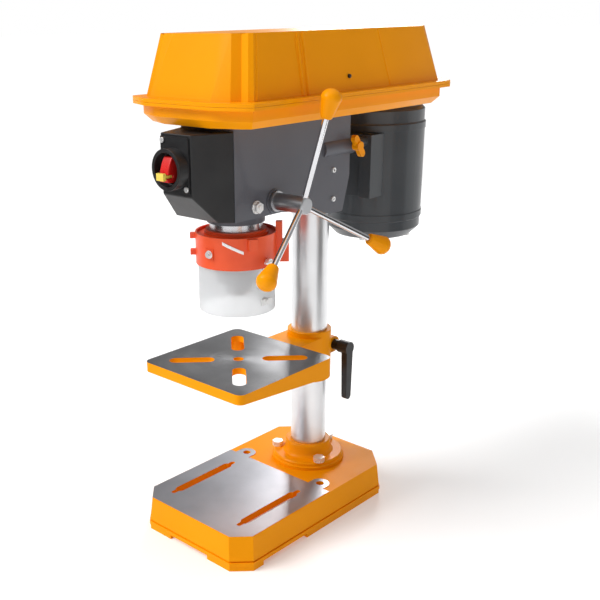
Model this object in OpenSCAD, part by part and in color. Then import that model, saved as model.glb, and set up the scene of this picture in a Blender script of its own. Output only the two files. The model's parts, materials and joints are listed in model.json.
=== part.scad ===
// Bench drill press with a round column, a square slotted table, a belt drive under a hinged cover,
// a three-handle feed and a sliding chuck guard. Origin: midway between the two bench bolt holes,
// on the bench. Front faces -Y, +X is the side with the feed handles.

/* [Base] */
// Width of the base casting
base_w = 180; // [160:1:220]
// Front to back length of the base casting
base_l = 295; // [280:1:340]
// Height of the machined pad above the bench
base_h = 44; // [38:1:60]
// Distance from the bench bolt line to the front edge
base_front = 172; // [165:1:190]
// Distance between the two bench bolt holes
bench_hole_spacing = 128; // [110:1:130]
// Diameter of each bench bolt hole
bench_hole_d = 10; // [8:0.5:12]
// Distance of each base slot from the middle
base_slot_x = 57; // [45:1:62]
// Width of the base slots
base_slot_w = 12; // [8:0.5:14]

/* [Column] */
// Outer diameter of the column
column_d = 46; // [45:0.5:48]
// Wall of the column tube
column_wall = 2.5; // [2:0.1:4]
// Distance of the column axis behind the bench bolt line
column_y = 53; // [50:1:56]
// Distance from the column axis to the spindle axis
spindle_reach = 132; // [130:1:134]

/* [Table] */
// Side of the square table
table_size = 160; // [150:1:165]
// Height of the table face above the bench
table_z = 220; // [200:1:224]
// Thickness of the table plate
table_t = 8; // [6:0.5:10]
// Width of the four diagonal slots
table_slot_w = 16; // [10:0.5:18]
// Diameter of the hole in the middle of the table
table_hole_d = 13; // [10:0.5:20]

/* [Head] */
// Width of the head casting
head_w = 80; // [76:1:84]
// Height of the top face of the head
head_top = 498; // [496:1:500]
// Height of the feed axis
feed_z = 411.5; // [411:0.5:414]

/* [Drive] */
// Distance from the spindle axis to the motor axis
belt_centres = 262; // [258:1:266]
// Diameters of the spindle pulley steps, lowest step first
spindle_steps = [38, 48, 60, 72, 82];
// Diameters of the motor pulley steps, lowest step first
motor_steps = [80, 70, 58, 46, 36];
// Step that carries the belt, counted from the lowest
belt_step = 2; // [0:1:4]
// Radius of the motor casing
motor_r = 62; // [58:1:64]

/* [Guard] */
// Outer radius of the clear shield
shield_r = 44.2; // [43:0.1:44.4]
// Height of the lower edge of the shield
shield_z = 287; // [284:1:290]

/* [Feed] */
// Angle of the handle rods away from the plane of the hub
rod_tilt = 17.7; // [10:0.1:22]
// Length of a handle from the hub axis to the end of its knob
rod_reach = 128; // [110:1:132]

/* [Hidden] */
$fn = 64;
orange = [0.97, 0.62, 0.04];
grey = [0.38, 0.39, 0.43];
dark = [0.16, 0.16, 0.17];
steel = [0.78, 0.79, 0.80];
iron = [0.30, 0.31, 0.33];
red = [0.88, 0.24, 0.11];
spindle_y = column_y - spindle_reach;
motor_y = spindle_y + belt_centres;
feed_y = spindle_y + 20.75;
table_y = spindle_y;
col_r = column_d / 2;
run = 0.06;            // radial running clearance
deck_z = base_h - 0.8; // painted deck, just under the machined pad
flange_z = deck_z + 9.8;
neck_z = 70;
bolt_circle_r = 41.5;
clamp_y = column_y + 36;
clamp_z = table_z - 24;
collar_lo = table_z - 60;
collar_hi = table_z + 6;
head_front = spindle_y - 42;
head_bottom = head_top - 101;
nose_z = head_bottom - 9;
column_top = 469;
quill_r = 14.5;
quill_lo = 372;
quill_hi = 482;
bearing_r = 11;
spindle_r = 6;
sleeve_r = 12;
chuck_r = 21;
tooth_module = 1.25;
pinion_teeth = 12;
pinion_r = tooth_module * pinion_teeth / 2;
tooth_pitch = PI * tooth_module;
backlash = 0.2;
hub_root_x = 80.5;
cover_z = 498;         // underside of the cover pan
rim_z = 517;           // underside of the pan flange
seam_z = 520.5;        // seam between pan and lid
lid_z = 524.5;         // top of the lid flange
cover_top = 588;
hinge_x = -94.4;
hinge_places = [20, 150];
step_h = 10;
pulley_z = 512;
shroud_front = head_front - 45;
shroud_top = head_top - 6;
switch_z = 457;
switch_face = shroud_front - 2.5;
bar_x = 33;
bar_z = 457;
knob_y = column_y + 24.5;
motor_lo = 330;
motor_hi = 494;
motor_bolt_r = 46;
jaw_tilt = 12;
jaw_tip_r = 6.5;
jaw_tip_z = 300;
ring_lo = 341;
ring_hi = 377;

// ---------- shared shapes ----------

// Rectangle with cut corners: half width x, from y0 to y1, front cuts c0, rear cuts c1
function cut_rect(x, y0, y1, c0, c1) = [
    [-x + c0, y0], [x - c0, y0], [x, y0 + c0], [x, y1 - c1],
    [x - c1, y1], [-x + c1, y1], [-x, y1 - c1], [-x, y0 + c0]];

// A half outline, listed from front to back on the +X side, closed on the -X side
function both_sides(half) = concat(half, [for (i = [len(half) - 1 : -1 : 0]) [-half[i][0], half[i][1]]]);

// Solid through matching outlines, each at its own height
module loft(outlines, heights) {
    n = len(outlines[0]);
    top = (len(outlines) - 1) * n;
    polyhedron(
        points = [for (k = [0 : len(outlines) - 1], p = outlines[k]) [p[0], p[1], heights[k]]],
        faces = concat(
            [[for (i = [0 : n - 1]) i]],
            [[for (i = [n - 1 : -1 : 0]) top + i]],
            [for (k = [0 : n : top - 1], i = [0 : n - 1])
                [k + i, k + n + i, k + n + (i + 1) % n, k + (i + 1) % n]]));
}

// Flat slot with round ends, along Y
module slot_shape(length, width) {
    square([width, length - width], center = true);
    for (s = [-1, 1]) translate([0, s * (length - width) / 2]) circle(d = width);
}

// Tube standing on z = 0
module tube(r_out, r_in, h) {
    difference() {
        cylinder(r = r_out, h = h);
        translate([0, 0, -1]) cylinder(r = r_in, h = h + 2);
    }
}

// Hexagon prism measured across its flats
module hexagon(across, h) {
    cylinder(d = across / cos(30), h = h, $fn = 6);
}

// Turns a shape that stands on z = 0 so that it runs along +X
module along_x() {
    rotate([0, 90, 0]) children();
}

// Turns a shape that stands on z = 0 so that it runs along +Y
module along_y() {
    rotate([-90, 0, 0]) children();
}

// Moves to the column axis
module at_column() {
    translate([0, column_y, 0]) children();
}

// Moves to the spindle axis
module at_spindle() {
    translate([0, spindle_y, 0]) children();
}

// Moves to the motor axis
module at_motor() {
    translate([0, motor_y, 0]) children();
}

// ---------- base and column ----------

function base_outline(inset) = cut_rect(base_w / 2 - inset, inset - base_front,
    base_l - base_front - inset, 20, 28);

// Feet under the lip: the front corners, and one long foot on each side to the back
module feet() {
    rear = base_l - base_front;
    intersection() {
        linear_extrude(7) polygon(base_outline(0.6));
        for (s = [-1, 1]) {
            translate([s * base_w / 2 - 58, -base_front, 0]) cube([116, 38, 7]);
            translate([s * base_w / 2 - 58, rear - 44, 0]) cube([116, 44, 7]);
            translate([s * base_w / 2 - 22, -55, 0]) cube([44, rear + 55, 7]);
        }
    }
    for (s = [-1, 1]) translate([s * bench_hole_spacing / 2, 0, 0]) cylinder(r = 13, h = 36);
}

module base() {
    rear = base_l - base_front;
    color(orange) difference() {
        union() {
            feet();
            translate([0, 0, 6]) linear_extrude(5) polygon(base_outline(0));
            translate([0, 0, 11]) linear_extrude(2) polygon(base_outline(2.2));
            loft([base_outline(0.8), base_outline(3.4)], [13, deck_z]);
            // Machined pad with an ear round each bench bolt hole
            translate([0, 0, deck_z - 0.5]) linear_extrude(1.3) {
                polygon([[-base_w / 2 + 23, 4 - base_front], [base_w / 2 - 23, 4 - base_front],
                    [base_w / 2 - 4, 23 - base_front], [base_w / 2 - 4, -9],
                    [4 - base_w / 2, -9], [4 - base_w / 2, 23 - base_front]]);
                for (s = [-1, 1]) {
                    translate([s * bench_hole_spacing / 2, 0]) circle(r = 12);
                    translate([s * bench_hole_spacing / 2 - 12, -10]) square([24, 10]);
                }
            }
        }
        // Hollow underside, left solid round the bench bolts and under the column
        difference() {
            loft([base_outline(8), base_outline(12)], [-1, base_h - 9]);
            for (s = [-1, 1]) translate([s * bench_hole_spacing / 2, 0, -2]) cylinder(r = 13, h = base_h);
            at_column() for (a = [-150, -30, 90]) rotate(a) translate([bolt_circle_r, 0, 24]) cylinder(r = 9, h = 20);
        }
        for (s = [-1, 1]) {
            translate([s * bench_hole_spacing / 2, 0, -1]) cylinder(d = bench_hole_d, h = base_h + 2);
            translate([s * base_slot_x, -88, base_h - 20]) linear_extrude(30) slot_shape(96, base_slot_w);
            translate([s * base_slot_x, -88, base_h - 20]) linear_extrude(30) slot_shape(112, 6);
        }
        at_column() for (a = [-150, -30, 90]) rotate(a) translate([bolt_circle_r, 0, 26]) cylinder(r = 4, h = 30);
    }
}

module column_flange() {
    color(orange) difference() {
        at_column() rotate_extrude() polygon([
            [col_r + run, deck_z], [48, deck_z], [48, deck_z + 4], [46, deck_z + 5], [46, deck_z + 8],
            [44.5, flange_z], [33.6, flange_z], [31.4, flange_z + 2], [30.4, flange_z + 5],
            [30, neck_z - 1.5], [28.5, neck_z], [col_r + run, neck_z]]);
        at_column() {
            for (a = [-150, -30, 90]) rotate(a) translate([bolt_circle_r, 0, 26]) cylinder(r = 4.3, h = 30);
            translate([0, 20, 62.5]) along_y() cylinder(r = 3, h = 20);
        }
    }
}

module flange_bolts() {
    color(steel) at_column() for (a = [-150, -30, 90]) rotate(a) translate([bolt_circle_r, 0, 0]) {
        translate([0, 0, 28]) cylinder(r = 3.95, h = flange_z - 27);
        translate([0, 0, flange_z]) cylinder(r = 7, h = 1.4);
        translate([0, 0, flange_z + 1.2]) hexagon(13, 5.6);
    }
}

module flange_set_screw() {
    color(steel) at_column() translate([0, col_r + 0.5, 62.5]) along_y() difference() {
        cylinder(r = 2.95, h = 9.5);
        translate([0, 0, 6.5]) hexagon(3, 5);
    }
}

module column() {
    color(steel) at_column() translate([0, 0, deck_z + 0.4]) tube(col_r, col_r - column_wall, column_top - deck_z - 0.4);
}

// ---------- table ----------

module table() {
    half = table_size / 2;
    front = table_y - half;
    back = table_y + half;
    rim = 5;
    corner = 9;
    color(orange) difference() {
        union() {
            // Plate
            translate([0, table_y, table_z - table_t]) linear_extrude(table_t) {
                square([table_size - 2 * corner, table_size], center = true);
                square([table_size, table_size - 2 * corner], center = true);
                for (sx = [-1, 1], sy = [-1, 1]) translate([sx * (half - corner), sy * (half - corner)])
                    circle(r = corner);
            }
            // Front rim, and side skirts that get deeper towards the column
            translate([-half + corner, front, table_z - 12]) cube([table_size - 2 * corner, rim, 8]);
            for (s = [-1, 1]) {
                translate([s * (half - corner), front + corner, table_z - 12]) cylinder(r = corner, h = 8);
                translate([s * (half - rim / 2) - rim / 2, 0, 0]) rotate([90, 0, 90]) linear_extrude(rim)
                    polygon([[front + corner, table_z - 12], [back - corner, table_z - 24],
                        [back - corner, table_z - 5], [front + corner, table_z - 5]]);
                translate([s * (half - corner), back - corner, table_z - 24]) cylinder(r = corner, h = 20);
            }
            translate([-half + corner, back - rim, table_z - 24]) cube([table_size - 2 * corner, rim, 20]);
            // Two ribs and the neck that carry the plate
            for (s = [-1, 1]) translate([s * 34 - 3, 0, 0]) rotate([90, 0, 90]) linear_extrude(6)
                polygon([[front + 4, table_z - 12], [back, table_z - 26], [back, table_z - 5],
                    [front + 4, table_z - 5]]);
            translate([-27, 0, 0]) rotate([90, 0, 90]) linear_extrude(54)
                polygon([[back - 6, table_z - 26], [column_y - 16, collar_lo + 2], [column_y - 4, collar_lo + 2],
                    [column_y - 4, table_z - 1], [back - 6, table_z - 1]]);
            // Split collar with two clamp lugs behind
            at_column() translate([0, 0, collar_lo]) cylinder(r = 28, h = collar_hi - collar_lo);
            translate([-13, clamp_y, clamp_z]) along_x() cylinder(r = 10.5, h = 26);
            translate([-13, column_y + 20, clamp_z - 10.5]) cube([26, clamp_y - column_y - 20, 21]);
        }
        at_column() translate([0, 0, collar_lo - 1]) cylinder(r = col_r + run, h = 80);
        translate([-1.5, column_y, collar_lo - 1]) cube([3, 60, 80]);
        translate([-20, clamp_y, clamp_z]) along_x() cylinder(r = 4 + run, h = 40);
        translate([0, table_y, table_z - table_t - 1]) cylinder(d = table_hole_d, h = table_t + 2);
        for (a = [45, 135, 225, 315]) translate([0, table_y, table_z - 40]) rotate(a) translate([0, 55.5, 0])
            linear_extrude(60) slot_shape(54, table_slot_w);
    }
}

module table_clamp_nut() {
    color(steel) translate([-19.5, clamp_y, clamp_z]) along_x() difference() {
        hexagon(13, 6.4);
        translate([0, 0, -1]) cylinder(r = 4 + run, h = 9);
    }
}

module table_clamp_stud() {
    color(dark) translate([0, clamp_y, clamp_z]) {
        translate([-22, 0, 0]) along_x() cylinder(r = 4, h = 50);
        translate([13.3, 0, 0]) along_x() cylinder(r = 7, h = 8.2);
    }
}

module table_clamp_lever() {
    color(dark) difference() {
        union() {
            translate([23, clamp_y, clamp_z]) along_x() cylinder(r = 8.5, h = 16);
            hull() {
                translate([30, clamp_y, clamp_z]) along_x() cylinder(r = 6.5, h = 9, $fn = 32);
                translate([30.5, clamp_y, clamp_z - 67]) along_x() cylinder(r = 4.8, h = 8, $fn = 32);
            }
        }
        translate([22, clamp_y, clamp_z]) along_x() cylinder(r = 4, h = 6);
    }
}

// ---------- head ----------

// Side outline of the head, drawn as [y, z]; inset draws it smaller all round
module head_profile(inset) {
    polygon([[head_front + inset, head_bottom + inset], [feed_y + 12, head_bottom + inset],
        [column_y - 12, head_bottom - 16 + inset], [column_y + 11 - inset, head_bottom - 16 + inset],
        [column_y + 23 - inset, head_bottom + 25], [column_y + 23 - inset, head_top],
        [head_front + inset, head_top]]);
}

module head() {
    wall = 6;
    color(grey) difference() {
        union() {
            difference() {
                translate([-head_w / 2, 0, 0]) rotate([90, 0, 90]) linear_extrude(head_w) head_profile(0);
                // Hollow casting, open at the top
                translate([wall - head_w / 2, 0, 0.5]) rotate([90, 0, 90])
                    linear_extrude(head_w - 2 * wall) head_profile(wall);
            }
            // Nose and the machined ring that carries the guard
            at_spindle() translate([0, 0, nose_z]) cylinder(r = 33, h = head_bottom - nose_z + 3);
            at_spindle() translate([0, 0, nose_z - 16]) cylinder(r = 30, h = 20);
            // Quill barrel with the seat of the pulley bearing on top
            at_spindle() translate([0, 0, nose_z]) cylinder(r = 20, h = 100);
            at_spindle() translate([0, 0, 476]) cylinder(r = 26, h = head_top - 476);
            // Pinion barrel with a raised ring on the handle side
            translate([-head_w / 2 + 1, feed_y, feed_z]) along_x() cylinder(r = 14, h = head_w - 2);
            translate([head_w / 2 - 1, feed_y, feed_z]) along_x() cylinder(r = 13.5, h = 2.6);
            // Column socket
            at_column() translate([0, 0, head_bottom - 16]) cylinder(r = 31, h = 100);
            // Bosses for the two motor slide bars
            for (s = [-1, 1]) translate([s * bar_x, column_y - 26, bar_z]) along_y() cylinder(r = 11, h = 58);
            translate([-bar_x, column_y + 17, bar_z - 11]) cube([2 * bar_x, 15, 22]);
            // Boss for the quill guide screw
            translate([12, spindle_y - 9, head_bottom + 12]) along_x() cylinder(r = 7, h = 26);
        }
        // Quill bore and bearing seat
        at_spindle() translate([0, 0, nose_z - 20]) cylinder(r = quill_r + run, h = 130);
        at_spindle() translate([0, 0, 485]) cylinder(r = 20, h = 20);
        // Pinion bore
        translate([-head_w, feed_y, feed_z]) along_x() cylinder(r = 9 + run, h = 2 * head_w);
        // Column bore
        at_column() translate([0, 0, head_bottom - 20]) cylinder(r = col_r + run, h = column_top - head_bottom + 20.3);
        // Slide bar bores
        for (s = [-1, 1]) translate([s * bar_x, column_y - 45, bar_z]) along_y() cylinder(r = 6 + run, h = 90);
        // Tapped holes: column set screws, quill guide screw, tension knob
        for (z = [398, 432]) translate([col_r - 8, column_y - 8, z]) along_x() cylinder(r = 3, h = 40);
        translate([8, spindle_y - 9, head_bottom + 12]) along_x() cylinder(r = 2.5, h = 40);
        translate([bar_x, knob_y, bar_z]) along_x() cylinder(r = 3 + run, h = 40);
    }
}

module head_set_screws() {
    color(steel) for (z = [398, 432]) translate([0, column_y - 8, z]) {
        difference() {
            translate([col_r - 0.6, 0, 0]) along_x() cylinder(r = 2.95, h = 19.6);
            translate([39.5, 0, 0]) along_x() hexagon(3, 5);
        }
    }
}

module quill_guide_screw() {
    color(steel) translate([0, spindle_y - 9, head_bottom + 12]) {
        translate([10.2, 0, 0]) along_x() cylinder(r = 2.45, h = 37);
        translate([head_w / 2, 0, 0]) along_x() cylinder(r = 7.2, h = 1.2);
        translate([head_w / 2 + 1.1, 0, 0]) along_x() hexagon(11, 4.5);
    }
}

module cord_gland() {
    color(dark) translate([-head_w / 2, column_y - 40, head_bottom + 14]) rotate([0, -90, 0]) {
        difference() {
            union() {
                hexagon(15, 4);
                cylinder(r = 6.6, h = 11);
            }
            translate([0, 0, 3]) cylinder(r = 3.5, h = 10);
        }
    }
}

// ---------- switch ----------

// Plan of the shroud, drawn as [x, y]; inset draws it smaller
module shroud_plan(inset) {
    polygon([[-head_w / 2 + inset, head_front], [-22.4 + inset, shroud_front + inset],
        [22.4 - inset, shroud_front + inset], [head_w / 2 - inset, head_front]]);
}

// Side outline of the shroud, drawn as [y, z]; inset draws it smaller
module shroud_profile(inset) {
    polygon([[shroud_front, 428 + inset], [shroud_front + 27, 399 + inset],
        [head_front + inset / 10, head_bottom + inset], [head_front + inset / 10, shroud_top - inset],
        [shroud_front, shroud_top - inset]]);
}

module front_shroud() {
    color(dark) difference() {
        intersection() {
            translate([0, 0, head_bottom - 5]) linear_extrude(110) shroud_plan(0);
            translate([-60, 0, 0]) rotate([90, 0, 90]) linear_extrude(120) shroud_profile(0);
        }
        intersection() {
            translate([0, 0.1, head_bottom - 5]) linear_extrude(110) shroud_plan(3);
            translate([-60, 0, 0]) rotate([90, 0, 90]) linear_extrude(120) shroud_profile(3);
        }
        translate([-9, shroud_front - 1, switch_z - 14]) cube([18, 6, 28]);
    }
}

module switch_plate() {
    color(dark) difference() {
        translate([-20.5, switch_face, 433]) cube([41, 2.5, 56]);
        translate([-9, switch_face - 1, switch_z - 14]) cube([18, 6, 28]);
        for (p = [[-17, 485], [17.5, 437]]) translate([p[0], switch_face - 1, p[1]]) along_y() cylinder(r = 1.6, h = 6);
    }
}

module switch_screws() {
    color(steel) for (p = [[-17, 485], [17.5, 437]]) translate([p[0], switch_face, p[1]]) {
        translate([0, -1.6, 0]) along_y() cylinder(r = 2.9, h = 1.6);
        along_y() cylinder(r = 1.55, h = 2.4);
    }
}

module switch_bezel() {
    color(dark) translate([0, switch_face - 12.5, switch_z]) along_y() difference() {
        cylinder(r = 21.6, h = 12.5);
        translate([0, 0, -1]) cylinder(r = 17.6, h = 11.5);
        translate([-9, -14, 5]) cube([18, 28, 10]);
    }
}

// The paddle rocks about a line along X, at its own middle height
module switch_paddle() {
    color(red) translate([-6.5, 0, 0]) rotate([90, 0, 90]) linear_extrude(13) difference() {
        polygon([[switch_face + 2, switch_z - 8], [switch_face + 2, switch_z + 8],
            [switch_face - 5, switch_z + 13.5], [switch_face - 8.5, switch_z + 13],
            [switch_face - 12, switch_z + 7], [switch_face - 14.5, switch_z],
            [switch_face - 16.5, switch_z - 9], [switch_face - 16, switch_z - 12],
            [switch_face - 6, switch_z - 13]]);
        polygon([[switch_face - 20, switch_z - 8], [switch_face - 8, switch_z - 8],
            [switch_face - 8, switch_z - 4.5], [switch_face - 20, switch_z - 4.5]]);
    }
}

module switch_key() {
    color("gold") {
        translate([-5, switch_face - 15.4, switch_z - 7.7]) cube([10, 7, 2.9]);
        translate([-5.5, switch_face - 21, switch_z - 10]) cube([11, 4, 7.5]);
        translate([-5, switch_face - 17.2, switch_z - 7.7]) cube([10, 2, 2.9]);
    }
}

// ---------- quill, spindle and chuck ----------

// Groove between two rack teeth, drawn as [y, z] about the pinion's middle
module rack_groove() {
    slope = tan(20);
    half = tooth_pitch / 4 + backlash / 2;
    polygon([[-pinion_r - 1.6, -half + 1.6 * slope], [-pinion_r - 1.6, half - 1.6 * slope],
        [-pinion_r + 2, half + 2 * slope], [-pinion_r + 2, -half - 2 * slope]]);
}

module quill() {
    color(steel) difference() {
        at_spindle() translate([0, 0, quill_lo]) cylinder(r = quill_r, h = quill_hi - quill_lo);
        at_spindle() translate([0, 0, quill_lo - 1]) cylinder(r = 8, h = 150);
        at_spindle() translate([0, 0, quill_lo - 1]) cylinder(r = bearing_r, h = 10);
        at_spindle() translate([0, 0, quill_hi - 9]) cylinder(r = bearing_r, h = 10);
        // Rack on a flat along the back
        at_spindle() translate([-15, quill_r - 0.4, 398]) cube([30, 5, 75]);
        for (i = [-3 : 14]) translate([-15, feed_y, feed_z + i * tooth_pitch]) rotate([90, 0, 90])
            linear_extrude(30) rack_groove();
        // Keyway for the guide screw
        translate([9.5, spindle_y - 12, 403]) cube([10, 6, 62]);
    }
}

module quill_bearings() {
    color(steel) for (z = [quill_lo, quill_hi - 9]) at_spindle() translate([0, 0, z])
        tube(bearing_r - 0.02, spindle_r + run, 8.9);
}

module spindle() {
    color(steel) at_spindle() {
        translate([0, 0, 343]) cylinder(r = 7.5, h = 22);
        translate([0, 0, 364]) cylinder(r = 9, h = 7.6);
        translate([0, 0, 371]) cylinder(r = spindle_r, h = 190);
    }
}

// Straight line that a jaw slides along: up and outwards from its tip
module at_jaw(i) {
    at_spindle() rotate(i * 120 + 30) translate([jaw_tip_r, 0, jaw_tip_z]) rotate([0, jaw_tilt, 0]) children();
}

module chuck_body() {
    color(iron) difference() {
        at_spindle() rotate_extrude() polygon([[0, 303], [13, 303], [chuck_r - 3, 312], [chuck_r - 3, 316],
            [chuck_r - 0.3, 316.5], [chuck_r - 0.3, 354], [chuck_r, 354.4], [chuck_r, 360], [17, 363], [0, 363]]);
        at_spindle() translate([0, 0, 342]) cylinder(r = 7.52, h = 30);
        at_spindle() translate([0, 0, 300]) cylinder(r = 7, h = 40);
        for (i = [0 : 2]) at_jaw(i) translate([0, 0, -10]) cylinder(r = 3.5, h = 56);
    }
}

module chuck_sleeve() {
    color(iron) difference() {
        at_spindle() translate([0, 0, 317]) cylinder(r = 23, h = 37);
        at_spindle() translate([0, 0, 316]) cylinder(r = chuck_r, h = 40);
        // Key teeth round the lower edge
        for (a = [0 : 15 : 345]) at_spindle() rotate(a) translate([21.9, -1.1, 316]) cube([4, 2.2, 6]);
    }
}

module jaw(i) {
    color(steel) intersection() {
        at_jaw(i) cylinder(r = 3.2, h = 28);
        at_spindle() translate([0, 0, jaw_tip_z + 0.8]) cylinder(r = 30, h = 60);
    }
}

module jaw_1() {
    jaw(0);
}

module jaw_2() {
    jaw(1);
}

module jaw_3() {
    jaw(2);
}

// ---------- pulleys and belt ----------

// Stepped pulley: one V groove in each step; diameters listed from the lowest step
module stepped_pulley(steps, bore_r) {
    difference() {
        rotate_extrude() polygon(concat(
            [[bore_r, 0]],
            [for (i = [0 : len(steps) - 1]) each [
                [steps[i] / 2, i * step_h], [steps[i] / 2, i * step_h + 0.8],
                [steps[i] / 2 - 4.6, i * step_h + 3.2], [steps[i] / 2 - 4.6, i * step_h + 6.8],
                [steps[i] / 2, i * step_h + 9.2], [steps[i] / 2, i * step_h + step_h]]],
            [[bore_r, len(steps) * step_h]]));
    }
}

module sleeve_bearing() {
    color(steel) at_spindle() translate([0, 0, 485]) tube(19.98, sleeve_r + run, 12);
}

module pulley_sleeve() {
    color(steel) at_spindle() translate([0, 0, 484.5]) tube(sleeve_r, spindle_r + run, 82);
}

module spindle_pulley() {
    color("silver") at_spindle() translate([0, 0, pulley_z]) stepped_pulley(spindle_steps, sleeve_r + 0.02);
}

module pulley_nut() {
    color(steel) at_spindle() translate([0, 0, pulley_z + 5 * step_h + 0.1]) difference() {
        hexagon(30, 4);
        translate([0, 0, -1]) cylinder(r = sleeve_r + 0.02, h = 10);
    }
}

// Belt outline round both pulleys at the stated depth in the grooves
module belt_loop(depth) {
    a = spindle_steps[belt_step] / 2 - depth;
    b = motor_steps[belt_step] / 2 - depth;
    lean = asin((a - b) / belt_centres);
    circle(r = a);
    translate([0, belt_centres]) circle(r = b);
    polygon([[a * cos(lean), a * sin(lean)], [b * cos(lean), belt_centres + b * sin(lean)],
        [-b * cos(lean), belt_centres + b * sin(lean)], [-a * cos(lean), a * sin(lean)]]);
}

module v_belt() {
    z0 = pulley_z + belt_step * step_h;
    color(dark) at_spindle() difference() {
        translate([0, 0, z0 + 3]) linear_extrude(4) belt_loop(0.4);
        translate([0, 0, z0 + 2]) linear_extrude(6) belt_loop(4.1);
    }
}

module motor_pulley() {
    color("silver") at_motor() translate([0, 0, pulley_z]) stepped_pulley(motor_steps, 7.02);
}

// ---------- feed ----------

// One involute flank point of the pinion at radius r
function tooth_half(r) = let (base = pinion_r * cos(20), f = acos(min(1, base / max(r, base))))
    (tooth_pitch / 2 - backlash) / 2 / pinion_r * 180 / PI + (tan(20) - 20 * PI / 180) * 180 / PI
    - (tan(f) - f * PI / 180) * 180 / PI;

module pinion_shape() {
    radii = [6.1, 7.05, 7.5, 8.0, 8.7];
    circle(r = 6.3);
    for (i = [0 : pinion_teeth - 1]) rotate(i * 360 / pinion_teeth) polygon(concat(
        [for (r = radii) [r * cos(tooth_half(r)), -r * sin(tooth_half(r))]],
        [for (k = [len(radii) - 1 : -1 : 0]) [radii[k] * cos(tooth_half(radii[k])), radii[k] * sin(tooth_half(radii[k]))]]));
}

module at_feed(x) {
    translate([x, feed_y, feed_z]) children();
}

module pinion_shaft() {
    color(steel) {
        at_feed(-11) rotate([90, 0, 90]) linear_extrude(22) pinion_shape();
        at_feed(-head_w / 2 - 1) along_x() cylinder(r = 9, h = head_w / 2 - 9);
        at_feed(10) along_x() cylinder(r = 9, h = head_w / 2 - 9);
        at_feed(40) along_x() cylinder(r = 7, h = 26);
        at_feed(-66) along_x() cylinder(r = 4, h = 26);
    }
}

// Moves to a handle: i = 0 points up, the others follow at thirds of a turn
module at_rod(i) {
    at_feed(hub_root_x) rotate([i * 120, 0, 0]) rotate([0, rod_tilt, 0]) children();
}

module feed_hub() {
    color(iron) difference() {
        union() {
            at_feed(42) along_x() cylinder(r = 9.5, h = hub_root_x - 37);
            at_feed(42) along_x() cylinder(r = 11.5, h = 3);
            at_feed(hub_root_x + 5) along_x() cylinder(r1 = 9.5, r2 = 8.3, h = 1.2);
        }
        at_feed(41) along_x() cylinder(r = 7.01, h = 25.2);
        for (i = [0 : 2]) at_rod(i) translate([0, 0, 4]) cylinder(r = 3.21, h = 20);
    }
}

module feed_rods() {
    color(steel) for (i = [0 : 2]) at_rod(i) translate([0, 0, 4.1]) cylinder(r = 3.2, h = rod_reach - 16);
}

module feed_knobs() {
    color(orange) for (i = [0 : 2]) at_rod(i) translate([0, 0, rod_reach - 30]) difference() {
        rotate_extrude() polygon(concat([[0, 0], [5.6, 0], [6.3, 0.8]],
            [for (a = [0 : 15 : 90]) [10.9 * cos(a), 21 + 9 * sin(a)]]));
        translate([0, 0, -1]) cylinder(r = 3.22, h = 19.2);
    }
}

// Flat spiral spring: strip width 0.9 between radii 7.5 and 19
module return_spring() {
    turns = 5;
    inner = 7.5;
    gain = 11 / turns;
    color(iron) at_feed(-54) rotate([90, 0, 90]) linear_extrude(10) polygon(concat(
        [for (a = [0 : 15 : turns * 360]) (inner + gain * a / 360) * [cos(a), sin(a)]],
        [for (a = [turns * 360 : -15 : 0]) (inner + 0.9 + gain * a / 360) * [cos(a), sin(a)]]));
}

module spring_cap() {
    color(dark) at_feed(-58) along_x() difference() {
        cylinder(r = 23, h = 18);
        translate([0, 0, 2.5]) cylinder(r = 20.6, h = 20);
        translate([0, 0, -1]) cylinder(r = 4.4, h = 10);
    }
}

module spring_nut() {
    color(steel) at_feed(-64) along_x() difference() {
        hexagon(13, 5.6);
        translate([0, 0, -1]) cylinder(r = 4.01, h = 9);
    }
}

// ---------- guard ----------

module guard_ring() {
    color(red) difference() {
        at_spindle() union() {
            translate([0, 0, ring_lo]) tube(46.5, shield_r + 0.3, ring_hi - ring_lo);
            translate([0, 0, ring_hi - 6]) cylinder(r = 45.5, h = 2.8);
            translate([0, 0, ring_hi - 6]) cylinder(r = 34.5, h = 9);
            translate([0, 0, ring_hi - 5]) linear_extrude(5) circle(r = 36.5);
            // Lugs on the left, ear and switch arm on the right
            for (z = [ring_lo + 9, ring_hi - 8]) rotate(-135) translate([45.4, -4, z]) cube([7, 8, 6]);
            rotate(35) translate([45.4, -4, ring_hi - 16]) cube([7, 8, 27]);
            rotate(45) translate([45.4, -9, ring_lo]) cube([14, 18, 23]);
            rotate(-24) translate([45.4, -5.5, ring_hi - 14]) cube([5, 11, 13]);
            rotate(-85) translate([45.4, -5.5, ring_lo + 11]) cube([2, 11, 12]);
        }
        at_spindle() translate([0, 0, ring_lo - 1]) cylinder(r = 30.02, h = 60);
        at_spindle() translate([40, 0, 348]) along_x() cylinder(r = 2.5 + run, h = 12);
        at_spindle() rotate(-85) translate([36, 0, 358]) along_x() cylinder(r = 2, h = 20);
    }
}

module guard_clamp_screws() {
    color(steel) at_spindle() rotate(-85) translate([0, 0, 358]) {
        translate([45, 0, 0]) along_x() cylinder(r = 1.95, h = 4);
        translate([47.4, 0, 0]) along_x() cylinder(r = 4.6, h = 0.9);
        translate([48.2, 0, 0]) along_x() cylinder(r = 3.6, h = 2.4);
    }
}

module guard_shield() {
    color([0.85, 0.9, 0.92, 0.45]) difference() {
        at_spindle() translate([0, 0, shield_z]) tube(shield_r, shield_r - 2.2, 65);
        at_spindle() translate([38, -3.2, 322]) cube([10, 6.4, 40]);
    }
}

module guard_wing_screw() {
    color(steel) at_spindle() translate([0, 0, 348]) {
        translate([41.2, 0, 0]) along_x() cylinder(r = 2.5, h = 9);
        translate([48.6, 0, 0]) along_x() cylinder(r = 4, h = 4);
        translate([50, -8, -1]) cube([3.5, 16, 2]);
    }
}

// ---------- cover ----------

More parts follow.
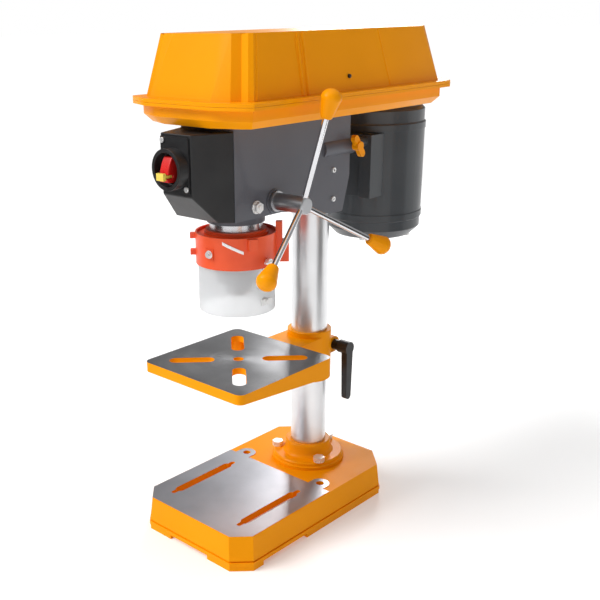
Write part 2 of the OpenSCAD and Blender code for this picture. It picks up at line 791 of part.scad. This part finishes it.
// Half outline of the pan or its flange: half width, front and back of its straight sides
function pan_half(w, front, back) = [
    [w - 40, front - 12], [w - 22, front - 5], [w - 8, front], [w, front + 6],
    [w, 98], [w - 3, back - 36], [w - 31, back]];

// Half outline of the lid; grow is 0 at the foot and 1 at the top, inset makes it smaller
function lid_half(grow, inset) = [
    [40 - 7 * grow - inset / 2, -154 + 21 * grow + inset],
    [60.5 - 11.5 * grow - inset, -146 + 15 * grow + inset],
    [67 - 12 * grow - inset, -137 + 14 * grow + inset],
    [76 - 12 * grow - inset, -137 + 14 * grow + inset],
    [80 - 13 * grow - inset, -133 + 14 * grow + inset],
    [80 - 13 * grow - inset, 98 - 12 * grow],
    [76 - 12 * grow - inset, 203 - 24 * grow - inset],
    [52 - 8 * grow - inset, 239 - 24 * grow - inset]];

// One row of hinge knuckles; offsets are measured along each hinge from its middle
module knuckles(offsets, length, z, height) {
    for (y = hinge_places, o = offsets) {
        translate([hinge_x, y + o - length / 2, seam_z]) along_y() cylinder(r = 3.2, h = length);
        translate([hinge_x, y + o - length / 2, z]) cube([5, length, height]);
    }
}

module cover_pan() {
    w = 82;
    flange = both_sides(pan_half(91, -150, 247));
    wide = both_sides(pan_half(w, -143, 239));
    narrow = both_sides(pan_half(w - 7, -137, 232));
    inner_low = both_sides(pan_half(w - 8, -136, 231));
    inner = both_sides(pan_half(w - 2.5, -140, 236));
    color(orange) difference() {
        union() {
            loft([narrow, wide, wide], [cover_z, cover_z + 8, rim_z + 1]);
            translate([0, 0, rim_z]) linear_extrude(seam_z - rim_z - 0.1) polygon(flange);
            knuckles([-13.5, 13.5], 11, rim_z, 3.2);
        }
        loft([inner_low, inner, inner], [cover_z + 2.5, cover_z + 9, seam_z + 5]);
        at_spindle() translate([0, 0, cover_z - 1]) cylinder(r = 21, h = 9);
        at_motor() translate([0, -4, cover_z - 1]) linear_extrude(9) slot_shape(64, 44);
        for (y = hinge_places) translate([hinge_x, y - 25, seam_z]) along_y() cylinder(r = 1.5, h = 50);
        for (s = [-1, 1], y = [-30, 60]) translate([s * 36, y, cover_z - 1]) cylinder(r = 2.5, h = 9);
    }
}

module pan_screws() {
    color(steel) for (s = [-1, 1], y = [-30, 60]) translate([s * 36, y, cover_z + 2.5]) {
        cylinder(r = 4.4, h = 2);
        translate([0, 0, -2.4]) cylinder(r = 2.4, h = 3);
    }
}

module cover_lid() {
    color(orange) difference() {
        union() {
            translate([0, 0, seam_z + 0.1]) linear_extrude(lid_z - seam_z - 0.1)
                polygon(both_sides(pan_half(91, -150, 247)));
            loft([both_sides(lid_half(0, 0)), both_sides(lid_half(1, 0))], [lid_z - 1, cover_top]);
            knuckles([0], 15, seam_z + 0.1, 3.2);
            // Double rib on each side
            for (s = [-1, 1], y = [-58, -50]) translate([s * 66 - 1.2, y - 1.6, lid_z]) rotate([0, -s * 11, 0])
                translate([s * 12.4, 0, 0]) cube([2.4, 3.2, 56]);
        }
        loft([both_sides(lid_half(0, 2.5)), both_sides(lid_half(1, 2.5))], [lid_z - 10, cover_top - 2.5]);
        for (y = hinge_places) translate([hinge_x, y - 25, seam_z]) along_y() cylinder(r = 1.5 + run, h = 50);
        translate([60, 22, 540]) along_x() cylinder(r = 2.2, h = 30);
    }
}

module hinge_pins() {
    color(steel) for (y = hinge_places) translate([hinge_x, y - 19, seam_z]) along_y() cylinder(r = 1.5, h = 38);
}

module lid_screw() {
    color(dark) translate([72, 22, 540]) along_x() cylinder(r = 2.1, h = 7);
}

// ---------- motor ----------

module motor_shaft() {
    color(steel) at_motor() translate([0, 0, motor_lo + 8]) cylinder(r = 7, h = pulley_z + 52 - motor_lo - 8);
}

module motor_rotor() {
    color(iron) at_motor() translate([0, 0, 372]) tube(36, 7.02, 76);
}

module motor_stator() {
    color("sienna") at_motor() difference() {
        translate([0, 0, 366]) tube(motor_r - 4.1, 37, 88);
        for (a = [20 : 90 : 290]) rotate(a) translate([motor_bolt_r, 0, 360]) cylinder(r = 2.6, h = 100);
    }
}

module motor_bearings() {
    color(steel) at_motor() for (z = [motor_lo + 9, motor_hi - 19]) translate([0, 0, z]) tube(15, 7 + run, 9);
}

module motor_body() {
    color(iron) at_motor() translate([0, 0, 362]) tube(motor_r, motor_r - 4, 104);
}

// End bell, drawn with its open side at z = 0 and its closed side at z = height
module bell(height, chamfer) {
    difference() {
        rotate_extrude() polygon([[0, 0], [motor_r + 0.8, 0], [motor_r + 0.8, 8],
            [motor_r - 1, 9.5], [motor_r - 1, height - chamfer], [motor_r - 1 - chamfer, height], [0, height]]);
        rotate_extrude() polygon([[0, -1], [motor_r - 5, -1], [motor_r - 5, height - chamfer - 3],
            [motor_r - 4 - chamfer, height - 5], [0, height - 5]]);
    }
}

module motor_upper_bell() {
    color(iron) at_motor() {
        difference() {
            union() {
                translate([0, 0, 466]) bell(motor_hi - 466, 4);
                translate([0, 0, motor_hi - 20]) cylinder(r = 19, h = 18);
            }
            translate([0, 0, motor_hi - 21]) cylinder(r = 15.01, h = 11.1);
            translate([0, 0, 400]) cylinder(r = 8.5, h = 120);
            for (a = [20 : 90 : 290]) rotate(a) translate([motor_bolt_r, 0, 460]) cylinder(r = 2.6, h = 60);
        }
    }
}

module motor_lower_bell() {
    color(iron) at_motor() {
        difference() {
            union() {
                translate([0, 0, 362]) mirror([0, 0, 1]) bell(362 - motor_lo, 11);
                translate([0, 0, motor_lo + 2]) cylinder(r = 19, h = 18);
            }
            translate([0, 0, motor_lo + 8.9]) cylinder(r = 15.01, h = 20);
            translate([0, 0, motor_lo + 6]) cylinder(r = 8.5, h = 30);
            for (a = [20 : 90 : 290]) rotate(a) translate([motor_bolt_r, 0, 320]) cylinder(r = 2.6, h = 50);
        }
    }
}

module motor_bolts() {
    color(steel) at_motor() for (a = [20 : 90 : 290]) rotate(a) translate([motor_bolt_r, 0, 0]) {
        translate([0, 0, motor_lo - 3.5]) cylinder(r = 2.5, h = motor_hi - motor_lo + 5);
        translate([0, 0, motor_lo - 3]) hexagon(8, 3);
        translate([0, 0, motor_hi]) cylinder(r = 4.2, h = 2.4);
    }
}

module terminal_box() {
    color(iron) difference() {
        translate([0, motor_y + motor_r - 12, 385]) linear_extrude(70)
            polygon([[-26, 0], [26, 0], [26, 20], [21, 25], [-21, 25], [-26, 20]]);
        at_motor() translate([0, 0, 380]) cylinder(r = motor_r + 0.02, h = 80);
        translate([-22, motor_y + motor_r - 10, 389]) cube([44, 20, 62]);
    }
}

// Cast foot of the motor with its two slide bars
module motor_mount() {
    color(iron) {
        difference() {
            translate([-44, column_y + 60, 388]) cube([88, motor_y - column_y - 84, 77]);
            at_motor() translate([0, 0, 300]) cylinder(r = motor_r + 0.02, h = 200);
            translate([-27, column_y + 50, 380]) cube([54, 14, 60]);
        }
    }
    color(steel) for (s = [-1, 1]) translate([s * bar_x, column_y - 16, bar_z]) along_y() cylinder(r = 6, h = 77);
}

module belt_tension_knob() {
    color(orange) translate([0, knob_y, bar_z]) {
        translate([bar_x + 6.4, 0, 0]) along_x() cylinder(r = 3, h = 9);
        translate([46, 0, 0]) along_x() cylinder(r = 5.5, h = 9);
        translate([48, 0, 0]) rotate([35, 0, 0]) hull() for (s = [-1, 1])
            translate([0, 0, s * 11]) along_x() cylinder(r = 4.2, h = 5.5, $fn = 32);
    }
}

base();
column_flange();
flange_bolts();
flange_set_screw();
column();
table();
table_clamp_nut();
table_clamp_stud();
table_clamp_lever();
head();
head_set_screws();
quill_guide_screw();
cord_gland();
front_shroud();
switch_plate();
switch_screws();
switch_bezel();
switch_paddle();
switch_key();
quill();
quill_bearings();
spindle();
chuck_body();
chuck_sleeve();
jaw_1();
jaw_2();
jaw_3();
sleeve_bearing();
pulley_sleeve();
spindle_pulley();
pulley_nut();
pinion_shaft();
feed_hub();
feed_rods();
feed_knobs();
return_spring();
spring_cap();
spring_nut();
guard_ring();
guard_clamp_screws();
guard_shield();
guard_wing_screw();
cover_pan();
pan_screws();
cover_lid();
hinge_pins();
lid_screw();
v_belt();
motor_pulley();
motor_shaft();
motor_rotor();
motor_stator();
motor_bearings();
motor_body();
motor_upper_bell();
motor_lower_bell();
motor_bolts();
terminal_box();
motor_mount();
belt_tension_knob();
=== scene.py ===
import json
import math

import bmesh
import bpy
from mathutils import Matrix, Vector


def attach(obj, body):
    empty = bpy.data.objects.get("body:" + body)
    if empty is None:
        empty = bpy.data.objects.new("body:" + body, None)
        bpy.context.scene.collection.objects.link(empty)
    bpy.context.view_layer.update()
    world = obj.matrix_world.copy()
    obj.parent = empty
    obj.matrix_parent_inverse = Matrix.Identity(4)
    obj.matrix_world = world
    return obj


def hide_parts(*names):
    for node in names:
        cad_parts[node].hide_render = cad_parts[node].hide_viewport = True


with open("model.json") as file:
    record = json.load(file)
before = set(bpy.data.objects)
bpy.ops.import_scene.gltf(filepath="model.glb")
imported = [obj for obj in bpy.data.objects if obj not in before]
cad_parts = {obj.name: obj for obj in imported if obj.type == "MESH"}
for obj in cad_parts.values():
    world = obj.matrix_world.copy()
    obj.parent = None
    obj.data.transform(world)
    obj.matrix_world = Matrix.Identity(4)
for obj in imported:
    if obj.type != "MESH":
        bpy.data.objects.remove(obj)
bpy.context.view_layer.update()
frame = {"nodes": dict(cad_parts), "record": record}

NODES = frame["nodes"]
RECORD = frame["record"]
BODY_OF = {n: b for b, names in RECORD["behaviour"]["bodies"].items() for n in names}
SLOT_OF = {s["node"]: s["material_slot"] for s in RECORD["subparts"]}
MM = 0.001


# ---------- materials ----------

class Shader:
    """A Principled material with a few procedural helpers."""

    def __init__(self, name, **sockets):
        self.m = bpy.data.materials.new(name)
        self.m.use_nodes = True
        self.t = self.m.node_tree
        self.p = self.t.nodes["Principled BSDF"]
        self.coords = self.t.nodes.new("ShaderNodeTexCoord").outputs["Object"]
        for k, v in sockets.items():
            self.p.inputs[k.replace("_", " ")].default_value = v

    def node(self, kind, **values):
        n = self.t.nodes.new(kind)
        for k, v in values.items():
            setattr(n, k, v)
        return n

    def link(self, a, b):
        self.t.links.new(a, b)

    def moved(self, scale=(1, 1, 1), offset=(0, 0, 0)):
        n = self.node("ShaderNodeMapping")
        n.inputs["Scale"].default_value = scale
        n.inputs["Location"].default_value = offset
        self.link(self.coords, n.inputs["Vector"])
        return n.outputs["Vector"]

    def noise(self, scale, detail=3.0, stretch=(1, 1, 1), vector=None):
        n = self.node("ShaderNodeTexNoise")
        n.inputs["Scale"].default_value = scale
        n.inputs["Detail"].default_value = detail
        self.link(vector if vector is not None else self.moved(stretch), n.inputs["Vector"])
        return n.outputs["Fac"]

    def ramp(self, factor, stops):
        n = self.node("ShaderNodeValToRGB")
        e = n.color_ramp.elements
        while len(e) < len(stops):
            e.new(0.5)
        for k, (at, colour) in zip(e, stops):
            k.position = at
            k.color = (*colour, 1) if len(colour) == 3 else colour
        self.link(factor, n.inputs["Fac"])
        return n.outputs["Color"]

    def spread(self, factor, low, high):
        n = self.node("ShaderNodeMapRange")
        n.inputs["To Min"].default_value = low
        n.inputs["To Max"].default_value = high
        self.link(factor, n.inputs["Value"])
        return n.outputs["Result"]

    def colour(self, factor, dark, light):
        self.link(self.ramp(factor, [(0.3, dark), (0.7, light)]), self.p.inputs["Base Color"])

    def rough(self, factor, low, high):
        self.link(self.spread(factor, low, high), self.p.inputs["Roughness"])

    def bump(self, factor, strength, distance):
        n = self.node("ShaderNodeBump")
        n.inputs["Strength"].default_value = strength
        n.inputs["Distance"].default_value = distance
        self.link(factor, n.inputs["Height"])
        self.link(n.outputs["Normal"], self.p.inputs["Normal"])

    def radius(self, x, y):
        """Distance from the upright line through x, y, as a vector along X."""
        flat = self.moved((1, 1, 0), (-x, -y, 0))
        n = self.node("ShaderNodeVectorMath", operation="LENGTH")
        self.link(flat, n.inputs[0])
        c = self.node("ShaderNodeCombineXYZ")
        self.link(n.outputs["Value"], c.inputs["X"])
        return c.outputs["Vector"]


def enamel(name, dark, light, rough, coat, peel=0.12, spec=0.2):
    s = Shader(name, Coat_Weight=coat, Coat_Roughness=0.12, Specular_IOR_Level=spec)
    s.colour(s.noise(9, 2), dark, light)
    s.rough(s.noise(60, 3), rough - 0.04, rough + 0.05)
    s.bump(s.noise(420, 2), peel, 0.0004)
    return s.m


def plastic(name, dark, light, rough, grain=900, depth=0.2):
    s = Shader(name)
    s.colour(s.noise(30, 3), dark, light)
    s.rough(s.noise(80, 3), rough - 0.05, rough + 0.06)
    s.bump(s.noise(grain, 2), depth, 0.0003)
    return s.m


def metal(name, dark, light, rough, stretch=(1, 1, 1), scale=900, depth=0.15, metallic=1.0):
    s = Shader(name, Metallic=metallic)
    s.colour(s.noise(25, 4), dark, light)
    s.rough(s.noise(70, 3), rough - 0.05, rough + 0.06)
    s.bump(s.noise(scale, 3, stretch), depth, 0.0002)
    return s.m


def turned(name, dark, light, rough, x, y, pitch, depth):
    """Machined face with fine rings about the upright line through x, y."""
    s = Shader(name, Metallic=1.0)
    rings = s.noise(1 / pitch, 2, vector=s.radius(x, y))
    s.colour(s.noise(18, 4), dark, light)
    s.rough(rings, rough - 0.06, rough + 0.06)
    s.bump(rings, depth, 0.0004)
    return s.m


SPINDLE_Y = -0.079
SPINDLE = Vector((0, SPINDLE_Y, 0))

ORANGE = enamel("orange enamel", (0.92, 0.325, 0.0), (0.98, 0.35, 0.001), 0.34, 0.03, 0.12, 0.1)
CAST_ORANGE = enamel("orange enamel on cast iron", (0.92, 0.325, 0.0), (0.98, 0.35, 0.001), 0.4, 0.0, 0.3, 0.07)
HEAD_GREY = enamel("blue-grey enamel", (0.105, 0.108, 0.125), (0.125, 0.13, 0.15), 0.42, 0.25, 0.25)
MOTOR_GREY = enamel("dark grey enamel", (0.058, 0.064, 0.070), (0.076, 0.083, 0.090), 0.34, 0.25, 0.2)
BLACK = plastic("black moulding", (0.012, 0.012, 0.013), (0.02, 0.02, 0.021), 0.42)
BLACK_STEEL = enamel("black steel", (0.012, 0.012, 0.012), (0.02, 0.02, 0.02), 0.35, 0.3)
RED = plastic("red moulding", (0.84, 0.075, 0.012), (0.94, 0.105, 0.02), 0.36, 500, 0.1)
SWITCH_RED = plastic("switch red", (0.62, 0.008, 0.008), (0.72, 0.015, 0.012), 0.28, 500, 0.1)
YELLOW = plastic("yellow key", (0.85, 0.62, 0.08), (0.9, 0.7, 0.12), 0.35, 500, 0.1)
ZINC = metal("zinc plate", (0.84, 0.84, 0.83), (0.94, 0.94, 0.93), 0.28, metallic=0.55)
STEEL = metal("turned steel", (0.5, 0.5, 0.52), (0.62, 0.62, 0.64), 0.3, (1, 1, 8))
CHROME = metal("polished rod", (0.72, 0.72, 0.74), (0.8, 0.8, 0.82), 0.14)
DARK_STEEL = metal("dark steel", (0.42, 0.425, 0.44), (0.54, 0.545, 0.56), 0.32, (1, 1, 6))
TUBE = metal("ground tube", (0.78, 0.785, 0.795), (0.84, 0.845, 0.855), 0.33, (14, 14, 0.02), 60, 0.1)
ALUMINIUM = metal("turned aluminium", (0.66, 0.67, 0.68), (0.76, 0.77, 0.78), 0.28, (0.1, 0.1, 10), 500)
COPPER = metal("varnished winding", (0.36, 0.11, 0.03), (0.5, 0.17, 0.05), 0.35, (0.2, 0.2, 3), 700, 0.6)
RUBBER = plastic("belt rubber", (0.012, 0.012, 0.012), (0.022, 0.022, 0.022), 0.75, 700, 0.5)
TABLE_FACE = turned("machined table face", (0.17, 0.17, 0.175), (0.27, 0.27, 0.28), 0.3, 0, SPINDLE_Y, 0.0006, 0.5)
PAD_FACE = turned("machined pad face", (0.40, 0.40, 0.43), (0.50, 0.50, 0.535), 0.34, 0.35, -0.4, 0.0007, 0.3)
NOSE_FACE = metal("machined nose", (0.55, 0.55, 0.57), (0.68, 0.68, 0.70), 0.26, (0.1, 0.1, 10), 400)

clear = Shader("clear moulding", Roughness=0.3, IOR=1.3, Transmission_Weight=0.62)
clear.colour(clear.noise(20, 2), (0.88, 0.89, 0.9), (0.94, 0.95, 0.96))
clear.bump(clear.noise(40, 2), 0.1, 0.0006)
CLEAR = clear.m

MATERIAL = {
    "orange_paint": ORANGE, "grey_paint": HEAD_GREY, "black_plastic": BLACK, "black_steel": BLACK_STEEL,
    "zinc_steel": ZINC, "machined_steel": STEEL, "bright_steel": TUBE, "chrome": CHROME,
    "dark_steel": DARK_STEEL, "cast_aluminium": ALUMINIUM, "motor_paint": MOTOR_GREY,
    "copper_winding": COPPER, "belt_rubber": RUBBER, "red_plastic": RED, "yellow_plastic": YELLOW,
    "clear_plastic": CLEAR,
}


# ---------- shapes ----------

def new_piece(name, mesh, body, slot, *materials):
    o = bpy.data.objects.new(name, mesh)
    bpy.context.scene.collection.objects.link(o)
    for m in materials:
        mesh.materials.append(m)
    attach(o, body)
    return o


def rounded(o, width, angle=30, segments=3):
    b = o.modifiers.new("edges", "BEVEL")
    b.width = width
    b.segments = segments
    b.limit_method = "ANGLE"
    b.angle_limit = math.radians(angle)
    b.miter_outer = "MITER_ARC"
    w = o.modifiers.new("normals", "WEIGHTED_NORMAL")
    w.keep_sharp = True
    return o


KEEP_TRIANGLES = ("base", "table", "head", "cover_pan", "column_flange")


def skin(node, width, angle=30, segments=3, materials=None, pick=None):
    """A copy of a CAD node with its edges rounded, shown in the node's place."""
    bm = bmesh.new()
    bm.from_mesh(NODES[node].data)
    bmesh.ops.remove_doubles(bm, verts=bm.verts, dist=2e-6)
    if node not in KEEP_TRIANGLES:
        bmesh.ops.dissolve_limit(bm, angle_limit=math.radians(0.4), verts=bm.verts, edges=bm.edges)
    for f in bm.faces:
        f.smooth = True
        f.material_index = pick(f.calc_center_median(), f.normal) if pick else 0
    mesh = bpy.data.meshes.new(node + "_skin")
    bm.to_mesh(mesh)
    bm.free()
    if "custom_normal" in mesh.attributes:
        mesh.attributes.remove(mesh.attributes["custom_normal"])
    o = new_piece(node + "_skin", mesh, BODY_OF[node], SLOT_OF[node], *(materials or [MATERIAL[SLOT_OF[node]]]))
    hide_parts(node)
    return rounded(o, width, angle, segments)


for name, node in NODES.items():
    for s in node.material_slots:
        s.material = MATERIAL[SLOT_OF[name]]

SKINS = {
    "base": 1.6, "column_flange": 0.8, "flange_bolts": 0.5, "table_clamp_nut": 0.5, "table_clamp_lever": 1.6,
    "head": 1.6, "quill_guide_screw": 0.5, "cord_gland": 0.5, "front_shroud": 1.2, "switch_plate": 0.8,
    "switch_screws": 0.4, "switch_bezel": 0.8, "switch_paddle": 1.0, "switch_key": 0.8,
    "chuck_body": 0.6, "chuck_sleeve": 0.5, "spindle_pulley": 0.3, "pulley_nut": 0.5, "motor_pulley": 0.3,
    "feed_hub": 0.5, "spring_cap": 1.2, "spring_nut": 0.5, "guard_ring": 0.7, "guard_clamp_screws": 0.4,
    "guard_wing_screw": 0.5, "pan_screws": 0.4, "cover_lid": 1.6, "cover_pan": 1.6, "lid_screw": 0.5,
    "motor_upper_bell": 1.4, "motor_lower_bell": 2.0, "motor_bolts": 0.5, "terminal_box": 1.6,
    "motor_mount": 1.2, "belt_tension_knob": 1.0,
}
PAD_Z, TABLE_Z = 0.0438, 0.2196
for name, width in SKINS.items():
    if name == "base":
        skin(name, width * MM, materials=[CAST_ORANGE, PAD_FACE],
             pick=lambda c, n: 1 if n.z > 0.9 and c.z > PAD_Z else 0)
    elif name == "head":
        skin(name, width * MM, materials=[HEAD_GREY, NOSE_FACE],
             pick=lambda c, n: 1 if c.z < 0.3875 and (c.xy - Vector((0, SPINDLE_Y))).length < 0.0304 else 0)
    elif name == "switch_paddle":
        skin(name, width * MM, materials=[SWITCH_RED])
    else:
        skin(name, width * MM)
skin("table", 1.2 * MM, materials=[CAST_ORANGE, TABLE_FACE],
     pick=lambda c, n: 1 if n.z > 0.9 and 0.2205 > c.z > TABLE_Z else 0)


def smooth_mesh(name, bm):
    """The bmesh as a smooth-shaded mesh with its faces turned outwards."""
    bmesh.ops.recalc_face_normals(bm, faces=bm.faces)
    for f in bm.faces:
        f.smooth = True
    mesh = bpy.data.meshes.new(name)
    bm.to_mesh(mesh)
    bm.free()
    return mesh


def close_tube(bm, rows):
    """Join rows of points into a closed tube with flat ends."""
    count = len(rows[0])
    for a, b in zip(rows, rows[1:]):
        for k in range(count):
            bm.faces.new((a[k], a[(k + 1) % count], b[(k + 1) % count], b[k]))
    bm.faces.new(rows[0][::-1])
    bm.faces.new(rows[-1])


def band(name, body, slot, material, outline, radius, thick, centre):
    """A thin plate bent round an upright axis; outline is a row of (angle, low z, high z) in degrees and mm."""
    bm = bmesh.new()
    rows = []
    for angle, low, high in outline:
        a = math.radians(angle)
        d = Vector((math.cos(a), math.sin(a), 0))
        rows.append([bm.verts.new(centre + d * r + Vector((0, 0, z * MM)))
                     for r, z in ((radius, low), (radius, high), (radius + thick, high), (radius + thick, low))])
    close_tube(bm, rows)
    return rounded(new_piece(name, smooth_mesh(name, bm), body, slot, material), 0.25 * MM, 40, 2)


def ridge(name, body, slot, material, path, out, width, height):
    """A raised rib along a path of points in mm, standing out of the surface along out."""
    bm = bmesh.new()
    out = Vector(out).normalized()
    rings = []
    for k, point in enumerate(path):
        a, b = Vector(path[max(k - 1, 0)]), Vector(path[min(k + 1, len(path) - 1)])
        side = (b - a).cross(out).normalized() * width / 2
        foot = Vector(point) - out * 0.6
        rings.append([bm.verts.new((foot + d) * MM) for d in
                      (-side, -side * 0.55 + out * (height + 0.6), side * 0.55 + out * (height + 0.6), side)])
    close_tube(bm, rings)
    return rounded(new_piece(name, smooth_mesh(name, bm), body, slot, material), 0.5 * MM, 30, 2)


band("guard_strip", "head", "zinc_steel", ZINC,
     [(-65 + 29 * t / 12, 370.2 - 11 * t / 12, 373.8 - 11 * t / 12) for t in range(13)], 46.5 * MM, 0.7 * MM, SPINDLE)

LID_LOW, LID_HIGH = 523.5, 588.0
LID_LEAN = 13  # mm that each side leans in from its foot to its top


def up_lid(side, high, x, y, lean_y):
    """Points up a sloping side of the lid, from just above its foot to the share high of its height."""
    low = 0.03
    return [(side * (x - LID_LEAN * g), y - lean_y * g, LID_LOW + (LID_HIGH - LID_LOW) * g)
            for g in (low + (high - low) * t / 6 for t in range(7))]


# Pressed ribs and creases: name, share of the height, x and y at the foot, lean in y, width, height
LID_RIDGES = (("rib_a", 0.97, 80, -58, -3, 4.5, 1.6), ("rib_b", 0.97, 80, -49.5, -3, 4.5, 1.6),
              ("crease", 0.98, 79.8, 97, 12, 3, 0.9), ("corner", 0.98, 80, -128, -14, 3, 0.9))
for side, tag in ((1, "right"), (-1, "left")):
    for kind, high, x, y, lean_y, width, height in LID_RIDGES:
        ridge(f"lid_{kind}_{tag}", "lid", "orange_paint", ORANGE, up_lid(side, high, x, y, lean_y),
              (side * (LID_HIGH - LID_LOW), 0, LID_LEAN), width, height)


def turned_piece(name, body, slot, material, profile, matrix, wings=None):
    """A small turned part from (radius, height) points in mm, with flat wings of (x, y, z) half sizes if given."""
    bm = bmesh.new()
    steps = 32
    angles = [2 * math.pi * k / steps for k in range(steps)]
    close_tube(bm, [[bm.verts.new(matrix @ (Vector((r * math.cos(a), r * math.sin(a), h)) * MM)) for a in angles]
                    for r, h in profile])
    for centre, half in wings or []:
        bmesh.ops.create_cube(bm, size=2, matrix=matrix @ Matrix.Translation(Vector(centre) * MM)
                              @ Matrix.Diagonal((*(h * MM for h in half), 1)))
    return rounded(new_piece(name, smooth_mesh(name, bm), body, slot, material), 0.3 * MM, 35, 2)


def from_spindle(angle, radius, z):
    """Frame on the guard's wall: Z points outwards, X stays level."""
    a = math.radians(angle)
    out = Vector((math.cos(a), math.sin(a), 0))
    return Matrix.Translation(SPINDLE + out * radius * MM + Vector((0, 0, z * MM))) @ Matrix(
        (Vector((-out.y, out.x, 0)), Vector((0, 0, 1)), out)).transposed().to_4x4()


turned_piece("shield_stop_screw", "guard_shield", "zinc_steel", ZINC,
             [(4.6, -0.2), (4.6, 1.0), (3.2, 1.2), (3.2, 4.0), (2.4, 4.8)], from_spindle(-2, 44.2, 302),
             [((-5.2, 0, 3.4), (3.4, 3.6, 0.8)), ((5.2, 0, 3.4), (3.4, 3.6, 0.8))])


# ---------- stage ----------

def plane(name, size, matrix, material):
    bm = bmesh.new()
    bmesh.ops.create_grid(bm, x_segments=1, y_segments=1, size=size)
    mesh = bpy.data.meshes.new(name)
    bm.to_mesh(mesh)
    bm.free()
    o = bpy.data.objects.new(name, mesh)
    bpy.context.scene.collection.objects.link(o)
    o.matrix_world = matrix
    mesh.materials.append(material)
    return o


floor_paint = Shader("pale floor", Roughness=0.6, Specular_IOR_Level=0.15,
                     Emission_Color=(1, 1, 1, 1), Emission_Strength=0.2)
floor_paint.colour(floor_paint.noise(3, 2), (0.86, 0.86, 0.86), (0.88, 0.88, 0.88))
plane("floor", 30, Matrix.Identity(4), floor_paint.m)


def area(name, place, target, size, power):
    light = bpy.data.lights.new(name, "AREA")
    light.energy = power
    light.size = size
    o = bpy.data.objects.new(name, light)
    bpy.context.scene.collection.objects.link(o)
    o.location = place
    o.rotation_mode = "QUATERNION"
    o.rotation_quaternion = (Vector(target) - Vector(place)).to_track_quat("-Z", "Y")
    return o


def sun(name, direction, strength, spread):
    """A soft distant light; direction points from the object to the light."""
    light = bpy.data.lights.new(name, "SUN")
    light.energy = strength
    light.angle = math.radians(spread)
    o = bpy.data.objects.new(name, light)
    bpy.context.scene.collection.objects.link(o)
    o.rotation_mode = "QUATERNION"
    o.rotation_quaternion = Vector(direction).to_track_quat("Z", "Y")


sun("key", (-0.6, -0.92, 1.1), 2.5, 34)
sun("top", (0.1, 0.1, 1.0), 0.45, 50)
area("gleam", (-1.05, 1.65, 1.1), (0.1, 0, 0.15), 0.5, 11)


def card(name, azimuth, width, height, distance, shade):
    """An upright dark card round the column, seen only in reflections; azimuth 0 is -Y, 90 is +X."""
    paint = Shader(name, Roughness=1.0, Specular_IOR_Level=0.0)
    paint.colour(paint.noise(2, 1), (shade,) * 3, (shade * 1.1,) * 3)
    a = math.radians(azimuth)
    outward = Vector((math.sin(a), -math.cos(a), 0))
    o = plane(name, 0.5, Matrix.Translation(Vector((0, 0.02, height / 2)) + outward * distance)
              @ outward.to_track_quat("Z", "Y").to_matrix().to_4x4()
              @ Matrix.Diagonal((width, height, 1, 1)), paint.m)
    o.visible_camera = False
    o.visible_diffuse = False
    o.visible_shadow = False
    o.visible_transmission = False


card("card_left", -35, 0.62, 0.62, 0.8, 0.05)
card("card_right", 105, 0.55, 0.62, 0.8, 0.05)

world = bpy.data.worlds.new("studio")
bpy.context.scene.world = world
world.use_nodes = True
tree = world.node_tree
camera_sky = tree.nodes.new("ShaderNodeBackground")
camera_sky.inputs["Color"].default_value = (1, 1, 1, 1)
camera_sky.inputs["Strength"].default_value = 1.0
tree.nodes["Background"].inputs["Color"].default_value = (1, 1, 1, 1)
tree.nodes["Background"].inputs["Strength"].default_value = 0.33
seen = tree.nodes.new("ShaderNodeLightPath")
sky = tree.nodes.new("ShaderNodeMixShader")
tree.links.new(seen.outputs["Is Camera Ray"], sky.inputs["Fac"])
tree.links.new(tree.nodes["Background"].outputs["Background"], sky.inputs[1])
tree.links.new(camera_sky.outputs["Background"], sky.inputs[2])
tree.links.new(sky.outputs["Shader"], tree.nodes["World Output"].inputs["Surface"])

cam = bpy.data.cameras.new("camera")
cam_object = bpy.data.objects.new("camera", cam)
bpy.context.scene.collection.objects.link(cam_object)
bpy.context.scene.camera = cam_object
azimuth, elevation, roll = (math.radians(a) for a in (44.877, 20.634, -1.224))
back = Vector((math.sin(azimuth) * math.cos(elevation), -math.cos(azimuth) * math.cos(elevation),
               math.sin(elevation)))
right = (-back).cross(Vector((0, 0, 1))).normalized()
up = right.cross(-back)
right_rolled = right * math.cos(roll) + up * math.sin(roll)
up_rolled = up * math.cos(roll) - right * math.sin(roll)
cam_object.matrix_world = Matrix.Translation((0.69626, -0.79252, 0.60510)) @ Matrix(
    (right_rolled, up_rolled, back)).transposed().to_4x4()
cam.sensor_width = 36
cam.lens = 53.7
cam.shift_x = 0.117
cam.shift_y = 0.0859
bpy.context.scene.view_settings.view_transform = "Standard"
